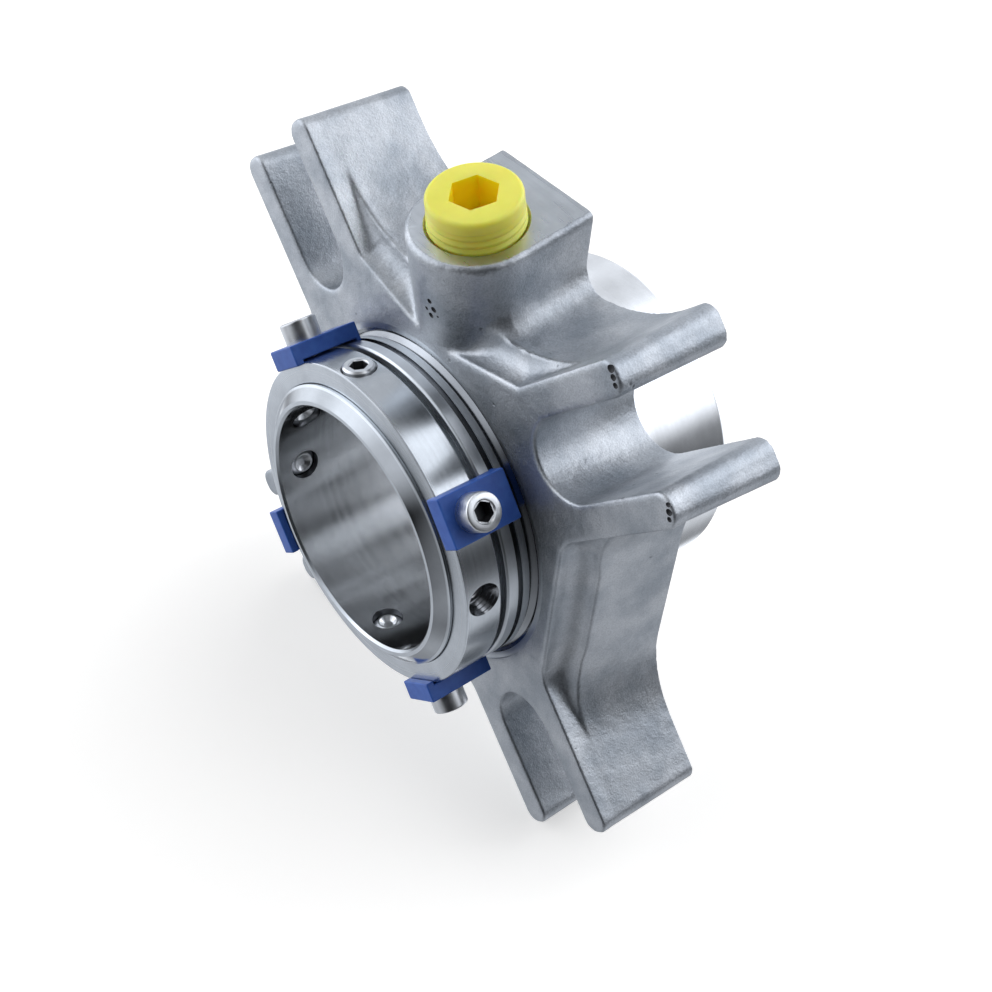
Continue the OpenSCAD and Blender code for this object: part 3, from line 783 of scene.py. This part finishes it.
def hole(r, r0, r1, g, thread=0.0):
    """Radial drilling at angle g from radius r0 to r1, with ring threads of that depth, its walls in
    darker steel as painted shade.
    """
    points = [(0, r0), (r, r0)]
    if thread:
        count = int((r1 - r0 - 1) / SET_PITCH)
        for k in range(count):
            low = r1 - 0.5 - (count - k) * SET_PITCH
            points += [(r, low), (r + thread, low + SET_PITCH / 2)]
    points += [(r, r1), (0, r1)]
    return move(lathe("cut", points, HOLE_SHADE, 64), from_shaft(g, CLAMP_MID))


def clamp_ring():
    inner = SLEEVE_R + FIT
    profile = chamfered([
        (inner, CLAMP_FRONT), (CLAMP_R, CLAMP_FRONT), (CLAMP_R, CLAMP_BACK), (inner, CLAMP_BACK)
    ], 0.35)
    obj = add("clamp_ring_turned", lathe("clamp_ring_turned", profile, TURNED, 256))
    for g, _ in SET_SCREWS:
        combine(obj, hole(SET_R + 0.08, SLEEVE_R - 2, CLAMP_R + 3, g, SET_THREAD))
        sink = [
            (0, CLAMP_R - 0.45), (SET_R - 0.05, CLAMP_R - 0.45), (3.9, CLAMP_R + 0.6), (0, CLAMP_R + 0.6)
        ]
        combine(obj, move(lathe("cut", sink, TURNED, 64), from_shaft(g, CLAMP_MID)))
    for k in range(4):
        combine(obj, hole(CLIP_SCREW_R + FIT, SLEEVE_R - 2, CLAMP_R + 3, CLIP_A + 90 * k))
    smooth(obj)
    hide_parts("clamp_ring")
    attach(obj, "rotor")


def sleeve():
    groove = (FLANGE_FRONT + SLEEVE_BACK) / 2
    profile = [
        (BORE_R + 0.4, SLEEVE_FRONT), (LIP_R, SLEEVE_FRONT), (SLEEVE_R - 0.5, CLAMP_FRONT - 0.7),
        (SLEEVE_R, CLAMP_FRONT - 0.5), (SLEEVE_R, FLANGE_FRONT),
        (FLANGE_R, FLANGE_FRONT), (FLANGE_R, SLEEVE_BACK - 0.3), (FLANGE_R - 0.3, SLEEVE_BACK),
        (BORE_R + 0.8, SLEEVE_BACK), (BORE_R, SLEEVE_BACK - 0.8), (BORE_R, groove + 1.7),
        (BORE_R + 2.4, groove + 1.7), (BORE_R + 2.4, groove - 1.7), (BORE_R, groove - 1.7),
        (BORE_R, SLEEVE_FRONT + 0.5)
    ]
    obj = add("sleeve_turned", lathe("sleeve_turned", profile, TURNED, 256))
    obj.data.materials.append(BORED)
    obj.data.materials.append(LIP)
    for face in obj.data.polygons:
        x, y, z = face.center / MM
        r = math.hypot(x, z)
        if r < BORE_R + 0.1:
            face.material_index = 1
        elif LIP_R < r < SLEEVE_R - 0.4 and SLEEVE_FRONT + 0.1 < y < CLAMP_FRONT:
            face.material_index = 2
    for g, _ in SET_SCREWS:
        combine(obj, hole(SET_R + 0.15, BORE_R - 3, SLEEVE_R + 3, g))
    smooth(obj)
    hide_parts("sleeve")
    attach(obj, "rotor")


def barrel():
    inner = SLEEVE_R + FIT
    shoulder = FLANGE_FRONT - FIT
    profile = [
        (CAVITY_R, BARREL_FRONT), (BARREL_R - 0.5, BARREL_FRONT), (BARREL_R, BARREL_FRONT + 0.5),
        (BARREL_R, SLEEVE_BACK - 1), (BARREL_R - 0.3, SLEEVE_BACK - 0.3), (BARREL_R - 1, SLEEVE_BACK),
        (FLANGE_R + FIT, SLEEVE_BACK), (FLANGE_R + FIT, shoulder), (inner, shoulder),
        (inner, CAVITY_BACK), (CAVITY_R, CAVITY_BACK)
    ]
    obj = add("barrel_turned", lathe("barrel_turned", profile, POLISHED, 256))
    track = (SLEEVE_R + 0.25 + CAVITY_R - 0.2) / 2
    pocket = [
        (0, CAVITY_BACK - 1), (POCKET_R, CAVITY_BACK - 1), (POCKET_R, POCKET_BACK), (0, POCKET_BACK)
    ]
    for k in range(SPRINGS):
        g = math.radians(360 / SPRINGS * (k + 0.5))
        at = Matrix.Translation((track * math.sin(g) * MM, 0, track * math.cos(g) * MM))
        combine(obj, move(lathe("cut", pocket, POLISHED, 32), at))
    pin = [(0, CAVITY_R - 2), (PIN_R, CAVITY_R - 2), (PIN_R, BARREL_R + 2), (0, BARREL_R + 2)]
    for side in (0, 180):
        for y in (BARREL_PIN_Y, DRIVE_PIN_Y):
            combine(obj, move(lathe("cut", pin, POLISHED, 48), from_shaft(side, y)))
    smooth(obj)
    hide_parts("barrel")
    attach(obj, "rotor")


def set_screws():
    base = None
    for g, length in SET_SCREWS:
        top = SET_TIP + length
        profile = [
            (0, SET_TIP + 0.9), (0.9, SET_TIP + 0.8), (1.75, SET_TIP), (2.05, SET_TIP),
            (SET_R, SET_TIP + 0.9), (SET_R, top - 0.35), (SET_R - 0.35, top),
            (1.9, top), (1.75, top - 0.15), (0, top - 0.15)
        ]
        obj = add("set_screw", lathe("set_screw", profile, SCREW, 64))
        # The hex socket is lined near-black: painted shade
        combine(obj, hexagon(SET_HEX, top - SET_SOCKET, top + 1, SOCKET_SHADE))
        obj.data.transform(from_shaft(g, CLAMP_MID))
        if base is None:
            base = obj
        else:
            both = [base, obj]
            with bpy.context.temp_override(active_object=base, selected_editable_objects=both):
                bpy.ops.object.join()
    base.name = "set_screws_cup"
    smooth(base)
    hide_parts("set_screws")
    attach(base, "rotor")


def clip(k):
    """Setting clip k: a plate over the clamp ring with a front tab and a lug in the nose's groove."""
    bottom = CLAMP_R + FIT
    top = bottom + CLIP_T
    tab = CLAMP_FRONT - FIT
    front = tab - CLIP_TAB
    back = GROOVE[1] - 2 * FIT
    lug = GROOVE[0] + 2 * FIT
    low = bottom - CLIP_HOOK
    side = [
        (front, low), (tab, low), (tab, bottom), (lug, bottom),
        (lug, low), (back, low), (back, top), (front, top)
    ]
    half = CLIP_W / 2
    verts = [(x, r, y) for x in (-half, half) for y, r in side]
    n = len(side)
    faces = [tuple(range(n)), tuple(range(2 * n - 1, n - 1, -1))]
    faces += [(i, i + n, (i + 1) % n + n, (i + 1) % n) for i in range(n)]
    mesh = mesh_of("clip", verts, faces, ENAMEL)
    outward(mesh)
    obj = add("clip_%d_plate" % (k + 1), mesh)
    bevel = obj.modifiers.new("edges", "BEVEL")
    bevel.width = CLIP_BEVEL * MM
    bevel.segments = 3
    bevel.limit_method = "ANGLE"
    bake(obj)
    obj.data.transform(Matrix.Translation((0, 0, -CLAMP_MID * MM)))
    bore = CLIP_SCREW_R + 0.2
    combine(obj, lathe("cut", [(0, 20), (bore, 20), (bore, 50), (0, 50)], ENAMEL, 64))
    half_turn = Matrix.Rotation(math.pi, 4, "Y")
    obj.data.transform(from_shaft(CLIP_A + 90 * k, CLAMP_MID) @ half_turn)
    smooth(obj, 40)
    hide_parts("setting_clip_%d" % (k + 1))
    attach(obj, "clip_%d" % (k + 1))
    cap_screw(k, top)


def cap_screw(k, seat):
    """Socket head cap screw of clip k, its head on the clip's plate at radius seat."""
    tip = SLEEVE_R + 0.4
    top = seat + HEAD_H
    r = CLIP_SCREW_R
    profile = [
        (0, tip), (r - 0.4, tip), (r, tip + 0.4), (r, seat), (HEAD_R, seat), (HEAD_R, top - 0.45),
        (HEAD_R - 0.12, top - 0.15), (HEAD_R - 0.4, top), (2.2, top), (1.95, top - 0.3), (0, top - 0.3)
    ]
    name = "clip_screw_%d_cap" % (k + 1)
    obj = add(name, lathe(name, profile, SCREW, 96))
    # The hex socket is lined near-black: painted shade
    combine(obj, hexagon(HEAD_HEX, top - HEAD_SOCKET, top + 1, SOCKET_SHADE))
    obj.data.transform(from_shaft(CLIP_A + 90 * k, CLAMP_MID))
    smooth(obj)
    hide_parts("clip_screw_%d" % (k + 1))
    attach(obj, "clip_%d" % (k + 1))


def plug():
    """Transit plug with ring threads, a little slimmer inside the port, and a rounded top edge."""
    profile = [(0, PLUG_BOTTOM), (7.2, PLUG_BOTTOM), (7.8, PLUG_BOTTOM + 0.5)]
    y = PLUG_BOTTOM + 0.6
    for _ in range(7):
        base = 8.45 + 0.04 * y if y < -1 else 8.62 - 0.07 * y
        profile += [(base - PLUG_THREAD, y), (base, y + PLUG_PITCH * 0.4), (base, y + PLUG_PITCH * 0.6)]
        y += PLUG_PITCH
    profile += [(PLUG_TOP_R - 0.17, y - 0.02), (PLUG_TOP_R, y + 0.18)]
    steps = 5
    for k in range(steps + 1):
        turn = math.radians(90 * k / steps)
        across = PLUG_TOP_R - PLUG_ROUND + PLUG_ROUND * math.cos(turn)
        profile.append((across, PLUG_HEIGHT - PLUG_ROUND + PLUG_ROUND * math.sin(turn)))
    profile.append((0, PLUG_HEIGHT))
    obj = add("plug_threaded", lathe("plug_threaded", profile, PLASTIC, 128))
    # The socket gets the deeper orange copy of the plastic: painted shade
    socket = hexagon(PLUG_HEX, PLUG_HEIGHT - PLUG_SOCKET, PLUG_HEIGHT + 1, SOCKET_PLASTIC_SHADE, math.pi / 4)
    combine(obj, socket)
    obj.data.transform(in_port())
    smooth(obj)
    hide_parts("port_plug")
    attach(obj, "plug")


gland()
clamp_ring()
sleeve()
barrel()
set_screws()
for k in range(4):
    clip(k)
plug()


# Floor with a backdrop all round, light and camera
FLOOR_Z = -0.0613
BACKDROP_SIDES = 96
# Radius of the backdrop's bends and their height above the floor, in metres
BACKDROP = [(3.0, 0.0), (3.4, 0.1), (3.7, 0.4), (3.8, 0.8), (3.8, 4.0613)]


def paper(name, low, high, glow):
    """Matt paper with a little light of its own, so that it stays pale in the shade."""
    m = material(name, high, 0.0, 0.9)
    s = shader_of(m)
    link(m, ramp(m, noise(m, position(m), 3), [(0.0, low), (1.0, high)]), s.inputs["Base Color"])
    s.inputs["Emission Color"].default_value = (1, 1, 1, 1)
    s.inputs["Emission Strength"].default_value = glow
    return m


def stage():
    """Round floor that bends up into a backdrop on every side."""
    verts = []
    for r, height in BACKDROP:
        z = FLOOR_Z + height
        for i in range(BACKDROP_SIDES):
            g = 2 * math.pi * i / BACKDROP_SIDES
            verts.append((r * math.cos(g), r * math.sin(g), z))
    faces = [tuple(range(BACKDROP_SIDES))]
    for start in range(0, len(verts) - BACKDROP_SIDES, BACKDROP_SIDES):
        for i in range(BACKDROP_SIDES):
            j = (i + 1) % BACKDROP_SIDES
            faces.append((start + i, start + BACKDROP_SIDES + i, start + BACKDROP_SIDES + j, start + j))
    mesh = bpy.data.meshes.new("floor")
    mesh.from_pydata(verts, [], faces)
    mesh.materials.append(paper("floor_paper", (0.9, 0.862, 0.804), (0.92, 0.88, 0.82), 0.36))
    mesh.materials.append(paper("backdrop_paper", (0.3, 0.3, 0.3), (0.32, 0.32, 0.32), 0.95))
    for face in mesh.polygons:
        face.material_index = min(face.index, 1)
    mesh.shade_smooth()
    floor = add("floor", mesh)
    floor.visible_glossy = False
    floor.visible_diffuse = False
    floor.visible_shadow = False


def softbox(name, at, size, power):
    """Square light that faces the part."""
    data = bpy.data.lights.new(name, "AREA")
    data.shape = "RECTANGLE"
    data.size = size
    data.size_y = size
    data.energy = power
    obj = add(name, data)
    obj.location = at
    obj.rotation_euler = (-Vector(at)).to_track_quat("-Z", "Y").to_euler()


def camera():
    """Camera found from the photo: its place, and its right, up and backward directions."""
    data = bpy.data.cameras.new("camera")
    data.lens = 51.4086
    data.sensor_width = 36
    obj = add("camera", data)
    place = Matrix.Translation(Vector((154.395, -148.407, 190.974)) * MM)
    rows = Matrix((
        (0.62621, 0.77588, 0.07659),
        (-0.57341, 0.39177, 0.71953),
        (0.52827, -0.49449, 0.69023)
    ))
    obj.matrix_world = place @ rows.transposed().to_4x4()
    bpy.context.scene.camera = obj


# Soft light of the room: direction of each lobe, cosines between which it fades in, strength
NARROW = (0.84, 0.99)
BROAD = (0.72, 0.98)
SKY = [
    ((0.00, 0.95, 0.30), NARROW, 1.28),
    ((0.42, 0.54, 0.73), BROAD, 1.27),
    ((-0.42, -0.80, 0.42), BROAD, 1.13),
    ((-0.86, -0.50, 0.04), BROAD, 0.95),
    ((-0.83, -0.21, 0.52), NARROW, 0.91),
    ((-0.22, 0.84, 0.50), BROAD, 0.68),
    ((0.20, 0.90, -0.40), NARROW, 0.67),
    ((-0.94, 0.04, -0.35), BROAD, 0.42),
    ((-0.84, 0.50, 0.20), NARROW, 0.53),
    ((-0.56, 0.39, -0.73), NARROW, 1.1),
    ((0.66, 0.50, 0.56), NARROW, 0.49),
    ((0.30, 0.95, 0.12), BROAD, 0.48),
    ((0.60, 0.34, -0.73), NARROW, 0.45),
    ((0.10, -0.91, -0.40), NARROW, 0.40),
    ((-0.75, -0.13, 0.65), BROAD, 0.37),
    ((-0.04, 0.87, -0.50), BROAD, 0.37),
    ((0.75, 0.10, -0.65), BROAD, 0.35),
    ((-0.52, 0.83, -0.21), NARROW, 0.35),
    ((-0.74, -0.45, -0.50), NARROW, 0.31),
    ((-0.26, -0.08, -0.96), BROAD, 0.30),
    ((-0.91, -0.40, -0.10), NARROW, 0.25),
    ((0.10, -0.60, -0.80), NARROW, 0.24),
    ((0.20, -0.10, 0.97), NARROW, 0.23),
    ((-0.52, -0.63, -0.58), BROAD, 0.22),
    ((-0.20, 0.45, 0.87), NARROW, 0.21),
    ((0.00, 0.00, -1.00), NARROW, 0.14),
    ((0.65, -0.30, -0.70), NARROW, 0.13),
    ((-0.89, 0.37, 0.27), BROAD, 0.13),
    ((-0.57, 0.81, -0.12), BROAD, 0.12),
    ((0.13, -0.58, -0.81), BROAD, 0.07),
    ((-0.34, 0.31, 0.88), BROAD, 0.07),
    ((0.88, 0.32, 0.35), BROAD, 0.07),
]


def spread(tree, value, limits, out):
    """Node that eases a value from one range to another."""
    n = tree.nodes.new("ShaderNodeMapRange")
    n.interpolation_type = "SMOOTHSTEP"
    n.inputs["From Min"].default_value = limits[0]
    n.inputs["From Max"].default_value = limits[1]
    n.inputs["To Min"].default_value = out[0]
    n.inputs["To Max"].default_value = out[1]
    tree.links.new(value, n.inputs["Value"])
    return n.outputs["Result"]


def world():
    """Sky of soft lobes over a faint glow from above, seen in the metal."""
    w = bpy.data.worlds.new("studio")
    w.use_nodes = True
    bpy.context.scene.world = w
    tree = w.node_tree
    coords = tree.nodes.new("ShaderNodeTexCoord")
    parts = tree.nodes.new("ShaderNodeSeparateXYZ")
    tree.links.new(coords.outputs["Generated"], parts.inputs["Vector"])
    total = spread(tree, parts.outputs["Z"], (-0.2, 0.3), (0.0, 0.02))
    for towards, limits, amount in SKY:
        dot = tree.nodes.new("ShaderNodeVectorMath")
        dot.operation = "DOT_PRODUCT"
        dot.inputs[1].default_value = Vector(towards).normalized()
        tree.links.new(coords.outputs["Generated"], dot.inputs[0])
        lobe = spread(tree, dot.outputs["Value"], limits, (0.0, amount))
        both = tree.nodes.new("ShaderNodeMath")
        tree.links.new(total, both.inputs[0])
        tree.links.new(lobe, both.inputs[1])
        total = both.outputs["Value"]
    tree.nodes["Background"].inputs["Color"].default_value = (0.93, 0.97, 1.04, 1)
    tree.links.new(total, tree.nodes["Background"].inputs["Strength"])


stage()
world()
softbox("key", (-0.35, -0.1, 0.85), 0.35, 0.3)
camera()
bpy.context.scene.view_settings.view_transform = "Standard"
